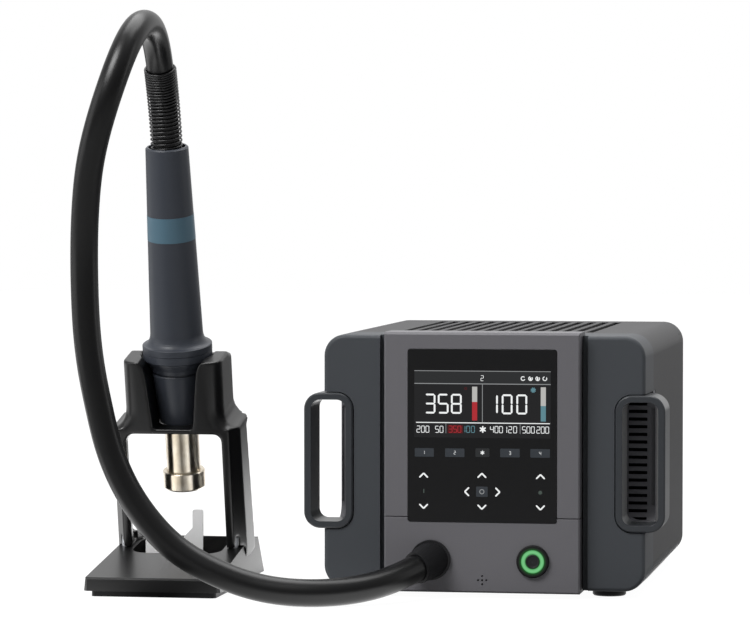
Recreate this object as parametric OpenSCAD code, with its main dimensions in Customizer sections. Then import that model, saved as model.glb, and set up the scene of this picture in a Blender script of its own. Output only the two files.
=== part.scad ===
// Hot air rework station: a bench unit with a display, its handset in a stand, and the air hose.
// Millimetres. Z is up, Z = 0 is the bench, and the front faces -Y.
// Sizes below are in the bench unit's own frame: X = 0 in its middle, Y = 0 on its front cheeks.

/* [Bench unit] */
// Width of the front cheeks
body_w = 190; // [180:1:200]
// Width of the sleeve behind the cheeks
shell_w = 191; // [190:0.5:198]
// Height of the body without its feet
body_h = 149; // [145:1:155]
// Depth from the front cheeks to the back edge
body_d = 241.5; // [235:0.5:250]
// Radius of the body's long edges
corner_r = 12.5; // [8:0.5:13]
// Depth of the moulded front frame
frame_d = 44; // [28:1:50]
// Wall of the metal sleeve
shell_t = 2; // [1.5:0.1:2.5]
// Wall of the mouldings
wall = 2.5; // [2:0.1:3]
// Height of a foot
foot_h = 4.7; // [4.5:0.1:6]
// Diameter of a foot
foot_d = 19.7; // [18:0.1:21]

/* [Control panel] */
// Width of the raised centre panel
panel_w = 115.2; // [112:0.1:117]
// How far the centre panel stands in front of the cheeks
panel_out = 8; // [6:0.5:9]
// Groove between the centre panel and a cheek
groove_w = 3.8; // [3:0.1:4.5]
// Height of the joint between the upper and the lower panel
seam_z = 47.5; // [47:0.1:48]
// Width of the display glass
glass_w = 87.8; // [85:0.1:90]
// Height of the display glass
glass_h = 101.2; // [99:0.1:103]
// Height of the button and of the hose outlet
outlet_z = 22.4; // [22:0.1:23]
// Distance of the hose outlet from the middle
outlet_x = 30; // [29:0.1:32]
// Distance of the power button from the middle
button_x = 30.3; // [29:0.1:32]
// Diameter of the power button's bezel
bezel_d = 19.1; // [18.5:0.1:20]

/* [Side handles] */
// Width of a handle loop, outside
loop_w = 29.2; // [28:0.1:30]
// Height of a handle loop, outside
loop_h = 80; // [78:0.1:83]
// Thickness of the loop's bar
loop_bar = 4.1; // [3.8:0.1:4.5]
// Distance of the loop's middle from the unit's middle
loop_x = 92.1; // [91.5:0.1:92.5]
// Height of the loop's middle
loop_z = 79.4; // [78:0.1:81]
// Depth of the finger recess, at its slotted end wall
recess_y = 61; // [55:1:75]

/* [Stand and handset] */
// Sideways place of the stand
stand_x = -191; // [-194:0.5:-188]
// Lean of the handset and its holder towards the front
lean = 13; // [12.5:0.1:13.5]
// Where the handset's axis meets the bench
axis_y = 68; // [67.5:0.1:68.5]
// Width of the stand's base at the bench
base_w = 82; // [80:0.5:84]
// Outside width of the holder's legs
legs_w = 79.6; // [77.5:0.1:81]
// Outside width of the holder's cup
cup_w = 60; // [58:0.5:64]
// Diameter of the handset's flange
flange_d = 42; // [41.5:0.1:42.4]
// Diameter of the handset at its top rim
rim_d = 25.7; // [25:0.1:26]
// Diameter of the heater barrel
barrel_d = 20.4; // [20:0.1:20.4]
// Diameter of the nozzle's collar
nozzle_d = 25.4; // [24.5:0.1:25.6]
// Diameter of the air hose
hose_d = 16; // [15.5:0.1:16.2]

/* [Hidden] */
$fn = 48;

body_z = foot_h;
top_z = body_z + body_h;
loop_r = 9.7;
gap = 0.5;
base_front = -36;
base_back = 95;
mid_x = (stand_x - base_w / 2 + loop_x + loop_w / 2) / 2;
mid_y = (base_front + body_d) / 2;

// Screws
m3_r = 1.5;
m4_r = 2;

// Plans
module rounded_rect(w, h, r) {
    square([w - 2 * r, h], center = true);
    square([w, h - 2 * r], center = true);
    for (sx = [-1, 1], sz = [-1, 1])
        translate([sx * (w / 2 - r), sz * (h / 2 - r)]) circle(r);
}

// Stands an X-Z outline up between two depths
module plate_y(y0, y1) {
    translate([0, y1, 0]) rotate([90, 0, 0]) linear_extrude(y1 - y0) children();
}

// Runs a Y-Z outline from x0 to x1
module plate_x(x0, x1) {
    translate([x0, 0, 0]) rotate([90, 0, 90]) linear_extrude(x1 - x0) children();
}

module box(x0, x1, y0, y1, z0, z1) {
    translate([x0, y0, z0]) cube([x1 - x0, y1 - y0, z1 - z0]);
}

module rod_y(x, z, r, y0, y1) {
    translate([x, y0, z]) rotate([-90, 0, 0]) cylinder(r = r, h = y1 - y0);
}

module rod_z(x, y, r, z0, z1) {
    translate([x, y, z0]) cylinder(r = r, h = z1 - z0);
}

module tube_z(r0, r1, z0, z1) {
    difference() {
        rod_z(0, 0, r1, z0, z1);
        rod_z(0, 0, r0, z0 - 1, z1 + 1);
    }
}

// A pan head screw along +Z, with the underside of its head at z = 0 and the head below
module pan_screw(r, length) {
    difference() {
        union() {
            cylinder(r = r, h = length);
            translate([0, 0, -1.2 * r]) cylinder(r = 1.9 * r, h = 1.2 * r);
        }
        translate([0, 0, -1.2 * r - 0.1]) cylinder(r = 0.8 * r, h = 0.8 * r, $fn = 6);
    }
}

module both_sides() {
    children();
    mirror([1, 0, 0]) children();
}

// The whole part is set over the middle of its footprint
module placed() {
    translate([-mid_x, -mid_y, 0]) children();
}

// The handset's own frame: Z along its axis, from the bench up
module on_axis() {
    placed() translate([stand_x, axis_y, 0]) rotate([lean, 0, 0]) children();
}

module on_stand() {
    placed() translate([stand_x, 0, 0]) children();
}

module body_outline(w, inset) {
    translate([0, body_z + body_h / 2])
        rounded_rect(w - 2 * inset, body_h - 2 * inset, corner_r - inset);
}

module loop_outline(grow) {
    translate([loop_x, loop_z])
        rounded_rect(loop_w + 2 * grow, loop_h + 2 * grow, loop_r + grow);
}

// Front frame
channel_w = panel_w + 2 * groove_w;
groove_y = 5;
web_y = 18;
web_t = 3;
edge_r = 2.5;

// The frame's solid, with its front edge rounded
module frame_blank(inset, y0) {
    hull() {
        for (a = [0:30:90])
            plate_y(y0 + edge_r * (1 - sin(a)), y0 + edge_r * (1 - sin(a)) + 0.1)
                body_outline(body_w, inset + edge_r * (1 - cos(a)));
        plate_y(frame_d - 0.5, frame_d) body_outline(shell_w, inset);
    }
}

module frame_cavities() {
    side = channel_w / 2 + wall;
    both_sides() box(side, shell_w / 2, 0, frame_d + 1, body_z, top_z);
    box(-channel_w / 2, channel_w / 2, web_y + web_t, frame_d + 1, body_z, top_z);
}

module frame_shell() {
    difference() {
        frame_blank(0, 0);
        intersection() {
            frame_blank(wall, wall);
            frame_cavities();
        }
        box(-channel_w / 2, channel_w / 2, -1, groove_y, 0, top_z + 1);
        box(-panel_w / 2 - gap, panel_w / 2 + gap, -1, web_y, 0, top_z + 1);
    }
}

// The wall of the frame round the handle's notch
module notch_wall() {
    intersection() {
        both_sides() plate_y(0.5, frame_d) loop_outline(gap + 2);
        box(-body_w / 2 + 1, body_w / 2 - 1, 0, frame_d, body_z, top_z);
    }
}

panel_screw_x = 50;
upper_screw_z = [60, 144];
board_post_x = [-40, 40];
board_post_z = [60.5, 144];
lower_screw_z = [13, 38];
handle_screw_z = [loop_z - 20, loop_z + 20];
foot_x = 71.3;
foot_y = [27, 215];
foot_block = 9;

module front_frame() placed() color("#4a4c50") {
    difference() {
        union() {
            frame_shell();
            notch_wall();
            for (z = [body_z + shell_t + 0.2, top_z - shell_t - 2.2])
                box(-58, 58, frame_d - 3, frame_d + 8, z, z + 2);
            both_sides() {
                box(foot_x - 9, foot_x + 9, 16, frame_d, body_z, body_z + foot_block);
                box(foot_x - 9, foot_x + 9, 16, frame_d + 8, body_z + shell_t + 0.2,
                    body_z + foot_block);
            }
        }
        both_sides() rod_z(foot_x, foot_y[0], m4_r, 0, body_z + foot_block + 1);
        both_sides() plate_y(-1, frame_d + 1) loop_outline(gap);
        rod_y(-outlet_x, outlet_z, 14, 10, 25);
        rod_y(button_x, outlet_z, 14, 10, 25);
        box(-30, 30, 10, 25, 84, 120);
        both_sides() for (z = concat(upper_screw_z, lower_screw_z))
            rod_y(panel_screw_x, z, m3_r + 0.2, 10, 25);
        both_sides() for (z = handle_screw_z)
            translate([70, 14, z]) rotate([0, 90, 0]) cylinder(r = m3_r + 0.1, h = 10);
    }
}

// Centre panels: a side profile crossed with a plan, so that every front edge has its bevel
module panel_block(z0, z1, top_bevel, low_bevel) {
    intersection() {
        plate_x(-panel_w / 2, panel_w / 2) polygon([
            [-panel_out + low_bevel, z0], [web_y, z0], [web_y, z1],
            [-panel_out + top_bevel, z1], [-panel_out, z1 - top_bevel],
            [-panel_out, z0 + low_bevel]]);
        translate([0, 0, z0 - 1]) linear_extrude(z1 - z0 + 2) polygon([
            [-panel_w / 2, web_y], [-panel_w / 2, 0.8 - panel_out], [0.8 - panel_w / 2, -panel_out],
            [panel_w / 2 - 0.8, -panel_out], [panel_w / 2, 0.8 - panel_out], [panel_w / 2, web_y]]);
    }
}

glass_x = 0.35;
glass_z = 95.3;
glass_y = -panel_out + 1.6;
panel_top = top_z + 2;
panel_low = body_z - 1.2;

module glass_outline(grow) {
    translate([glass_x, glass_z]) rounded_rect(glass_w + 2 * grow, glass_h + 2 * grow, 1.5 + grow);
}

module panel_boss(z) {
    both_sides() rod_y(panel_screw_x, z, 3.5, -panel_out + 2, web_y);
}

module panel_pilot(z) {
    both_sides() rod_y(panel_screw_x, z, m3_r, 6, web_y + 1);
}

module upper_panel() placed() color("#5f6066") {
    half = panel_w / 2 - wall;
    difference() {
        union() {
            difference() {
                panel_block(seam_z + 0.2, panel_top, 1.4, 0.3);
                box(-half, half, -panel_out + wall, web_y + 1, seam_z + wall, panel_top - wall);
            }
            for (z = upper_screw_z) panel_boss(z);
            for (x = board_post_x, z = board_post_z) rod_y(x, z, 3, -panel_out + 2, 0.5);
        }
        plate_y(-panel_out - 1, glass_y) glass_outline(0.15);
        box(-40.5, 42.5, -panel_out - 1, 0, 86, 140);
        box(-14, 14, -panel_out - 1, 0, 56, 62);
        for (z = upper_screw_z) panel_pilot(z);
    }
}

mic_z = 11;
mic_x = 0.5;
mic_pitch = 2.4;
mic_r = 0.6;

module lower_panel() placed() color("#5c5d63") {
    half = panel_w / 2 - wall;
    difference() {
        union() {
            difference() {
                panel_block(panel_low, seam_z - 0.2, 0.3, 1);
                box(-half, half, -panel_out + wall, web_y + 1, panel_low + wall, seam_z - wall);
            }
            for (z = lower_screw_z) panel_boss(z);
        }
        plate_y(-panel_out - 1, glass_y) glass_outline(0.15);
        rod_y(-outlet_x, outlet_z, 9.2, -panel_out - 1, 0);
        rod_y(button_x, outlet_z, 8.1, -panel_out - 1, 0);
        for (d = [[0, 0], [1, 0], [-1, 0], [0, 1], [0, -1]])
            rod_y(mic_x + mic_pitch * d[0], mic_z + mic_pitch * d[1], mic_r, -panel_out - 1, 0);
        for (z = lower_screw_z) panel_pilot(z);
    }
}

module display_glass() placed() color("#202124")
    plate_y(-panel_out - 0.3, glass_y) glass_outline(0);

module lcd_module() placed() color("#303236") {
    difference() {
        box(-39.5, 41.5, glass_y, -1.5, 87, 139);
        box(-36, 38, glass_y - 1, -5.9, 90, 136);
    }
    box(-10, 10, -1.5, 0.5, 100, 104);
}

module control_board() placed() color("#1f6b46") {
    difference() {
        box(-45, 45, 0.5, 2.1, 56, 148);
        for (x = board_post_x, z = board_post_z) rod_y(x, z, 1.6, 0, 3);
    }
    box(-22, -6, 2.1, 4, 72, 88);
    box(8, 30, 2.1, 8, 70, 78);
    for (z = [100, 112, 124]) rod_y(30, z, 4, 2.1, 12);
}

module panel_screws() placed() color("#b9bcc0")
    both_sides() for (z = concat(upper_screw_z, lower_screw_z))
        translate([panel_screw_x, web_y + web_t, z]) rotate([90, 0, 0]) pan_screw(m3_r, 11);

// Power button
bezel_out = 2.2;

module power_bezel() placed() color("#1c1d1f") translate([button_x, -panel_out, outlet_z])
    rotate([-90, 0, 0]) rotate_extrude() polygon([
        [7.1, -bezel_out], [bezel_d / 2 - 0.6, -bezel_out], [bezel_d / 2, 0.6 - bezel_out],
        [bezel_d / 2, 0], [8, 0], [8, 12], [7.1, 12]]);

module power_light_ring() placed() color("#5fdc7a") translate([button_x, -panel_out, outlet_z])
    rotate([-90, 0, 0]) tube_z(4.3, 7.1, -1.7, 2);

module power_cap() placed() color("#232427") translate([button_x, -panel_out, outlet_z])
    rotate([-90, 0, 0]) rotate_extrude() polygon([
        [0, -1.5], [2.8, -1.6], [3.7, -1.9], [4.2, -1.6], [4.2, 3.2], [1.9, 3.2], [1.9, 9], [0, 9]]);

module power_switch() placed() color("#2b2c2f") translate([button_x, -panel_out, outlet_z])
    rotate([-90, 0, 0]) {
        difference() {
            cylinder(r = 7, h = 20);
            translate([0, 0, -1]) cylinder(r = 4.6, h = 7);
            translate([0, 0, -1]) cylinder(r = 1.96, h = 13);
            translate([0, 0, -1]) cylinder(r = 7.2, h = 3);
        }
        for (a = [0:72:288]) rotate([0, 0, a]) translate([4, 0, 20]) cube([1, 2.4, 8], center = true);
    }

module power_nut() placed() color("#8d9094") rod_ring(button_x, 8.05, 11, wall, wall + 3);

// A hexagon nut behind the panel, on a threaded sleeve of radius r0
module rod_ring(x, r0, r1, y0, y1) {
    translate([x, y0 - panel_out, outlet_z]) rotate([-90, 0, 0]) difference() {
        cylinder(r = r1, h = y1 - y0, $fn = 6);
        translate([0, 0, -1]) cylinder(r = r0, h = y1 - y0 + 2);
    }
}

// Hose outlet: a rubber boot, bent over to the side that the hose leaves to
hose_r = hose_d / 2;
boot_end = [-36, -24, 19];
boot_turn = [104.5, 0, -33];
boot_socket = 6;

module boot_lump(r0, r1) {
    hull() {
        rod_y(-outlet_x, outlet_z, r0, -panel_out - 3, -panel_out - 2, $fn = 32);
        at_boot_end() translate([0, 0, -0.5]) cylinder(r = r1, h = 0.5, $fn = 32);
    }
}

// The boot's open end, with Z the way the hose leaves
module at_boot_end() {
    translate(boot_end) rotate([0, 0, boot_turn[2]]) rotate([boot_turn[0], 0, 0]) children();
}

module hose_boot() placed() color("#1d1d1f") {
    difference() {
        union() {
            rod_y(-outlet_x, outlet_z, 11.75, -panel_out - 2.6, -panel_out);
            boot_lump(10.6, 9.3);
            rod_y(-outlet_x, outlet_z, 9.1, -panel_out - 1, 4);
            rod_y(-outlet_x, outlet_z, 6.1, 3, 12);
        }
        rod_y(-outlet_x, outlet_z, 4.8, -panel_out - 8, 13);
        at_boot_end() translate([0, 0, -boot_socket]) cylinder(r = hose_r + 0.1, h = boot_socket + 1);
        at_boot_end() translate([0, 0, -boot_socket - 7]) cylinder(r = 4.8, h = 8);
    }
}

module gland_nut() placed() color("#3a3b3e")
    rod_ring(-outlet_x, 9.15, 14, wall, wall + 4);

module buzzer() placed() color("#17181a") {
    difference() {
        rod_y(mic_x, mic_z, 4.4, -panel_out + wall, 2);
        rod_y(mic_x, mic_z, 1, -panel_out + wall - 1, -3);
    }
    box(mic_x - 2.5, mic_x + 2.5, 2, 5, mic_z - 0.4, mic_z + 0.4);
}

// Side handles: a loop of flat bar let into a notch of the frame
loop_front = -1.5;
loop_back = 28;

module loop_ring() {
    difference() {
        hull() {
            plate_y(loop_front, loop_back) loop_outline(-0.8);
            plate_y(loop_front + 0.8, loop_back - 0.8) loop_outline(0);
        }
        plate_y(loop_front - 1, loop_back + 1) loop_outline(-loop_bar);
        for (z = handle_screw_z)
            translate([loop_x - loop_w / 2 - 1, 14, z]) rotate([0, 90, 0]) cylinder(r = m3_r, h = 4);
    }
    for (z = handle_screw_z)
        translate([loop_x - loop_w / 2 - gap, 14, z]) rotate([0, 90, 0]) difference() {
            cylinder(r = 4, h = gap);
            translate([0, 0, -1]) cylinder(r = m3_r, h = 2);
        }
}

module handle_right() placed() color("#363a3e") loop_ring();

module handle_left() placed() color("#363a3e") mirror([1, 0, 0]) loop_ring();

module handle_screws() placed() color("#b9bcc0")
    both_sides() for (z = handle_screw_z)
        translate([loop_x - loop_w / 2 - gap - 2, 14, z]) rotate([0, 90, 0]) pan_screw(m3_r, 5.2);

// Finger recess: the notch runs on into a black tub, whose end wall has air slots
recess_h = 77.2;
recess_r = 9;
tub_t = 2;
slot_count = 17;
slot_pitch = 4.57;
slot_half = 1;
slot_x0 = 78.9;
slot_x1 = 90.2;
rim_x0 = 92.6;
rim_x1 = 94.7;

module recess_front(grow) {
    translate([loop_x, loop_z])
        rounded_rect(loop_w + 2 * (gap + grow), recess_h + 2 * grow, recess_r + grow);
}

// The recess from y0 back, rounded in the front view and in the side view
module recess_block(grow, y0) {
    intersection() {
        plate_y(y0, recess_y + grow) recess_front(grow);
        plate_x(0, shell_w) translate([recess_y + grow - 30, loop_z])
            rounded_rect(60, recess_h + 2 * grow, recess_r + grow);
    }
}

module recess_slots() {
    intersection() {
        plate_y(recess_y - 6, recess_y + tub_t + 1) recess_front(-1);
        for (i = [0:slot_count - 1]) {
            z = loop_z - 0.4 + slot_pitch * (i - (slot_count - 1) / 2);
            box(slot_x0, slot_x1, 0, recess_y + 10, z - slot_half, z + slot_half);
        }
    }
}

module recess_tub() {
    difference() {
        intersection() {
            recess_block(tub_t, frame_d + 0.2);
            box(0, shell_w / 2 - 0.2, 0, body_d, 0, top_z);
        }
        recess_block(0, frame_d - 1);
        recess_slots();
        box(rim_x0, rim_x1, recess_y - 1, recess_y + 1.2, loop_z - 29, loop_z + 29);
    }
}

module grille_right() placed() color("#2c2d30") recess_tub();

module grille_left() placed() color("#2c2d30") mirror([1, 0, 0]) recess_tub();

// Foam dust filters, stuck on behind the slots
module slot_filters() placed() color("#18181a") both_sides()
    box(slot_x0 - 1.5, slot_x1 + 1.8, recess_y + tub_t + 0.05, recess_y + tub_t + 4,
        loop_z - recess_h / 2, loop_z + recess_h / 2);

// Sleeve of the body
vent_count = 15;
vent_pitch = 8;
vent_w = 4.5;
vent_y0 = 55;
vent_y1 = 220;

module vent_slot(x) {
    r = vent_w / 2;
    box(x - r, x + r, vent_y0 + r, vent_y1 - r, top_z - 5, top_z + 1);
    for (y = [vent_y0 + r, vent_y1 - r]) rod_z(x, y, r, top_z - 5, top_z + 1);
}

rear_y = body_d - 6.5;
rear_t = 2;
rear_screw_x = 84;
rear_screw_z = [body_z + 12, top_z - 12];

module shell_block(x, z) {
    difference() {
        box(x - 5, x + 5, rear_y - 12, rear_y, z - 5, z + 5);
        rod_y(x, z, m3_r, rear_y - 10, rear_y + 1);
    }
}

module outer_shell() placed() color("#48494c") {
    difference() {
        plate_y(frame_d, body_d) body_outline(shell_w, 0);
        plate_y(frame_d - 1, body_d + 1) body_outline(shell_w, shell_t);
        for (i = [0:vent_count - 1]) vent_slot(vent_pitch * (i - (vent_count - 1) / 2));
        both_sides() recess_block(tub_t + 0.2, frame_d - 1);
        both_sides() rod_z(foot_x, foot_y[1], m4_r + 0.2, 0, body_z + 4);
    }
    both_sides() for (z = rear_screw_z) {
        shell_block(rear_screw_x, z);
        box(rear_screw_x + 4, shell_w / 2 - 1, rear_y - 12, rear_y, z - 5, z + 5);
    }
}

tray_z = body_z + shell_t + 0.1;
tray_t = 1.5;

module chassis_tray() placed() color("#c3c5c7") {
    difference() {
        union() {
            box(-79, 79, frame_d + 10, rear_y - 14, tray_z, tray_z + tray_t);
            both_sides() box(77.5, 79, frame_d + 10, rear_y - 14, tray_z, tray_z + 12);
            box(-79, 79, rear_y - 15.5, rear_y - 14, tray_z, tray_z + 12);
        }
        both_sides() rod_z(foot_x, foot_y[1], m4_r + 0.1, 0, 20);
        for (a = [0:60:300]) translate([fan_x, fan_y, 0]) rotate([0, 0, a]) rod_z(26, 0, 5, 0, 20);
        for (p = blower_feet) rod_z(p[0], p[1], m3_r, 0, 20);
        for (p = board_feet) rod_z(p[0], p[1], m3_r + 0.1, 0, 20);
    }
}

// Rear panel with the mains inlet
inlet_x = 55;
inlet_z = 42;
socket_z = 5;
drawer_z = -11;

module rear_panel() placed() color("#3c3d40") {
    difference() {
        plate_y(rear_y, rear_y + rear_t) body_outline(shell_w, shell_t + 0.2);
        box(inlet_x - 14.2, inlet_x + 14.2, rear_y - 1, rear_y + 5, inlet_z - 16.2, inlet_z + 16.2);
        for (x = [inlet_x - 20, inlet_x + 20]) rod_y(x, inlet_z, m3_r + 0.1, rear_y - 1, rear_y + 5);
        both_sides() for (z = rear_screw_z) rod_y(rear_screw_x, z, m3_r + 0.2, rear_y - 1, rear_y + 5);
        for (i = [0:9], z = [70, 108])
            translate([-60 + 6.5 * i, rear_y - 1, z]) cube([3, 5, 30]);
    }
}

module rear_screws() placed() color("#b9bcc0")
    both_sides() for (z = rear_screw_z)
        translate([rear_screw_x, rear_y + rear_t, z]) rotate([90, 0, 0]) pan_screw(m3_r, 9);

module socket_outline(w, h) {
    polygon([[-w / 2, -h / 2], [w / 2, -h / 2], [w / 2, h / 2 - 4], [w / 2 - 4, h / 2],
        [4 - w / 2, h / 2], [-w / 2, h / 2 - 4]]);
}

// A box on the inlet's own middle
module inlet_box(half, y0, y1, z0, z1) {
    box(inlet_x - half, inlet_x + half, y0, y1, inlet_z + z0, inlet_z + z1);
}

module mains_inlet() placed() color("#1b1c1e") {
    face = rear_y + rear_t + 2;
    difference() {
        union() {
            translate([inlet_x, 0, inlet_z]) plate_y(rear_y + rear_t, face) rounded_rect(50, 36, 3);
            inlet_box(14, face - 27, face - 1, -16, 16);
        }
        translate([inlet_x, 0, inlet_z + socket_z])
            plate_y(face - 16.5, face + 1) socket_outline(24, 16.4);
        inlet_box(10.1, face - 24, face + 1, drawer_z - 4.1, drawer_z + 4.1);
        for (x = [inlet_x - 20, inlet_x + 20]) rod_y(x, inlet_z, m3_r + 0.1, rear_y - 1, face + 1);
    }
}

module inlet_pins() placed() color("#c9ccd0") {
    floor_y = rear_y + rear_t + 2 - 16.5;
    for (p = [[-7, -2], [7, -2], [0, 4]])
        box(inlet_x + p[0] - 1, inlet_x + p[0] + 1, floor_y, floor_y + 14,
            inlet_z + socket_z + p[1] - 2, inlet_z + socket_z + p[1] + 2);
}

module fuse_drawer() placed() color("#222326") {
    face = rear_y + rear_t + 2;
    difference() {
        inlet_box(10, face - 23, face, drawer_z - 4, drawer_z + 4);
        inlet_box(8.5, face - 22, face - 2, drawer_z - 3, drawer_z + 5);
    }
    difference() {
        inlet_box(11, face + 0.05, face + 1.5, drawer_z - 5, drawer_z + 5);
        inlet_box(4, face + 0.8, face + 2, drawer_z + 3, drawer_z + 6);
    }
    inlet_box(9, face - 1, face + 0.5, drawer_z - 3.5, drawer_z + 3.5);
    translate([inlet_x - 8.4, face - 12, inlet_z + drawer_z]) rotate([0, 90, 0]) cylinder(r = 3, h = 16.8);
}

module inlet_screws() placed() color("#b9bcc0")
    for (x = [inlet_x - 20, inlet_x + 20])
        translate([x, rear_y + rear_t + 2, inlet_z]) rotate([90, 0, 0]) pan_screw(m3_r, 7);

module feet() placed() color("#1a1a1c")
    both_sides() for (y = foot_y) translate([foot_x, y, 0]) difference() {
        rotate_extrude() polygon([[m4_r + 0.1, 0], [foot_d / 2 - 0.8, 0], [foot_d / 2, 0.8],
            [foot_d / 2, foot_h], [m4_r + 0.1, foot_h]]);
        translate([0, 0, -1]) cylinder(r = 4.4, h = 3.2);
    }

// The front pair screws into the frame's blocks, the rear pair into nuts on the tray
module foot_screws() placed() color("#b9bcc0") both_sides() {
    for (y = foot_y) translate([foot_x, y, 0]) {
        difference() {
            rod_z(0, 0, 3.8, 0.4, 2.2);
            translate([0, 0, -1]) cylinder(r = 1.7, h = 2.4, $fn = 6);
        }
        rod_z(0, 0, m4_r, 2.2, 12.5);
    }
    translate([foot_x, foot_y[1], tray_z + tray_t]) difference() {
        cylinder(r = 4, h = 3, $fn = 6);
        translate([0, 0, -1]) cylinder(r = m4_r, h = 5);
    }
}

// Blower: a volute with its spout in line with the hose outlet
fan_x = 8;
fan_y = 152;
fan_r = 34;
volute_r = 46;
volute_z = 12;
volute_top = 46;
blower_feet = [for (a = [90, 160, 325]) [fan_x + 50.5 * cos(a), fan_y + 50.5 * sin(a)]];
lug_z = 13;
board_feet = [[-73, 64], [-50, 64], [-73, 206], [-50, 206]];

module blower_housing() placed() color("#2f3134") {
    difference() {
        union() {
            rod_z(fan_x, fan_y, volute_r, volute_z, volute_top);
            rod_y(-outlet_x, outlet_z, 10, 96, fan_y);
            rod_y(-outlet_x, outlet_z, 6, 86, 97);
            for (p = blower_feet) rod_z(p[0], p[1], 5.5, tray_z + tray_t, lug_z);
        }
        rod_z(fan_x, fan_y, volute_r - 2.5, volute_z + 2, volute_top + 1);
        rod_y(-outlet_x, outlet_z, 8, 100, fan_y);
        rod_y(-outlet_x, outlet_z, 4.8, 80, 105);
        for (p = blower_feet) rod_z(p[0], p[1], m3_r, 0, lug_z + 1);
    }
}

module blower_cover() placed() color("#37393c") translate([fan_x, fan_y, 0])
    difference() {
        union() {
            rod_z(0, 0, volute_r, volute_top, volute_top + 2);
            rod_z(0, 0, volute_r - 2.7, volute_top - 2, volute_top + 1);
            tube_z(19, 23, volute_top, volute_top + 4);
        }
        rod_z(0, 0, 4, 0, volute_top + 9);
        for (a = [0:36:324]) rotate([0, 0, a]) rod_z(32, 0, 5, 0, volute_top + 9);
    }

shaft_r = 2.5;
blade_count = 15;

// One backward curved blade: the part of a thin ring between the eye and the rim
module blade() {
    intersection() {
        difference() {
            circle(fan_r - 1);
            circle(14);
        }
        translate([17, 12]) difference() {
            circle(21);
            circle(19.6);
            translate([-30, -60]) square([30, 120]);
            translate([-30, 0]) square([60, 60]);
        }
    }
}

module impeller() placed() color("#d8d8d2") translate([fan_x, fan_y, 0]) {
    difference() {
        union() {
            rod_z(0, 0, fan_r, volute_z + 4, volute_z + 6);
            rod_z(0, 0, 8, volute_z + 4, volute_top - 6);
            for (i = [0:blade_count - 1]) rotate([0, 0, 360 / blade_count * i])
                translate([0, 0, volute_z + 5]) linear_extrude(volute_top - volute_z - 13) blade();
        }
        rod_z(0, 0, shaft_r, 0, volute_top);
    }
}

motor_z = volute_top + 4;
motor_h = 34;

module impeller_shaft() placed() color("#c9ccd0") translate([fan_x, fan_y, 0])
    rod_z(0, 0, shaft_r, volute_z + 4, motor_z + motor_h + 3);

module blower_motor() placed() color("#6a6c70") translate([fan_x, fan_y, motor_z]) difference() {
    rotate_extrude() polygon([
        [3.2, 0], [20, 0], [21, 1], [21, motor_h - 3], [18, motor_h], [3.2, motor_h]]);
    rod_z(0, 0, 6.5, -1, 4);
    rod_z(0, 0, 6.5, motor_h - 4, motor_h + 1);
    for (a = [0:45:315]) rotate([0, 0, a]) translate([21, 0, 8]) rotate([0, 0, 45])
        cube([3, 3, motor_h - 16]);
}

module motor_bearings() placed() color("#aeb2b6") translate([fan_x, fan_y, motor_z]) {
    tube_z(shaft_r + 0.03, 6.45, 0, 3.9);
    tube_z(shaft_r + 0.03, 6.45, motor_h - 3.9, motor_h);
}

module blower_screws() placed() color("#b9bcc0")
    for (p = blower_feet) translate([p[0], p[1], lug_z]) rotate([180, 0, 0]) pan_screw(m3_r, 6);

module air_pipe() placed() color("#7d2f25") difference() {
    rod_y(-outlet_x, outlet_z, 8, 4.2, 95.8);
    rod_y(-outlet_x, outlet_z, 6.2, 3, 97);
}

// Mains board, with its parts
board_z = tray_z + tray_t + 5;

module mains_board() placed() color("#2c6e49") {
    difference() {
        union() {
            box(-77, -45, 58, 210, board_z, board_z + 1.6);
            for (p = board_feet) rod_z(p[0], p[1], 3, tray_z + tray_t, board_z);
        }
        for (p = board_feet) rod_z(p[0], p[1], 1.4, 0, 30);
    }
    for (y = [76, 94, 112]) rod_z(-68, y, 7, board_z + 1.6, board_z + 28);
    box(-57, -47, 74, 100, board_z + 1.6, board_z + 17);
    box(-75, -63, 184, 198, board_z + 1.6, board_z + 14);
    box(-60, -46, 186, 196, board_z + 1.6, board_z + 12);
}

module transformer() placed() color("#a0622d") {
    difference() {
        box(-75, -46, 128, 168, board_z + 1.6, board_z + 34);
        box(-70, -52, 127, 134, board_z + 7, board_z + 28);
        box(-70, -52, 162, 169, board_z + 7, board_z + 28);
    }
    box(-69.5, -52.5, 129, 134, board_z + 7.5, board_z + 27.5);
    box(-69.5, -52.5, 162, 167, board_z + 7.5, board_z + 27.5);
}

module heatsink() placed() color("#b6b9bc") {
    foot_top = tray_z + tray_t;
    box(57.5, 76, 122, 204, foot_top + 1, foot_top + 5);
    for (x = [57.5:3.45:75]) box(x, x + 1.2, 122, 204, foot_top + 4, foot_top + 34);
    for (y = [130, 196]) rod_z(66.5, y, 3, foot_top, foot_top + 2);
}

// Air hose: a smooth curve along hand-placed points, from the handset's top to the boot
hose_route = [
    [-191, 9.5, 254], [-191, 3.5, 279], [-191.5, -4, 302], [-191, -17, 323],
    [-190, -40, 336], [-191, -64, 335], [-194, -84, 322], [-200, -94, 300],
    [-208, -94, 276], [-215, -88, 253], [-219, -81, 229], [-221, -76, 206],
    [-221, -75, 182], [-220, -75, 158], [-217, -76, 135], [-212, -76, 112],
    [-207, -76, 90], [-197.5, -76, 68], [-184.5, -76, 49], [-167, -75, 31],
    [-144, -74, 19], [-122, -72, 11], [-100, -70, 8], [-76, -65, 8],
    [-53, -50, 11], [-36, -24, 19], [-33.2, -19.7, 20.3]];
spans = len(hose_route) - 1;

function route_point(i) =
    i < 0 ? 2 * hose_route[0] - hose_route[1] :
    i > spans ? 2 * hose_route[spans] - hose_route[spans - 1] : hose_route[i];

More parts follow.
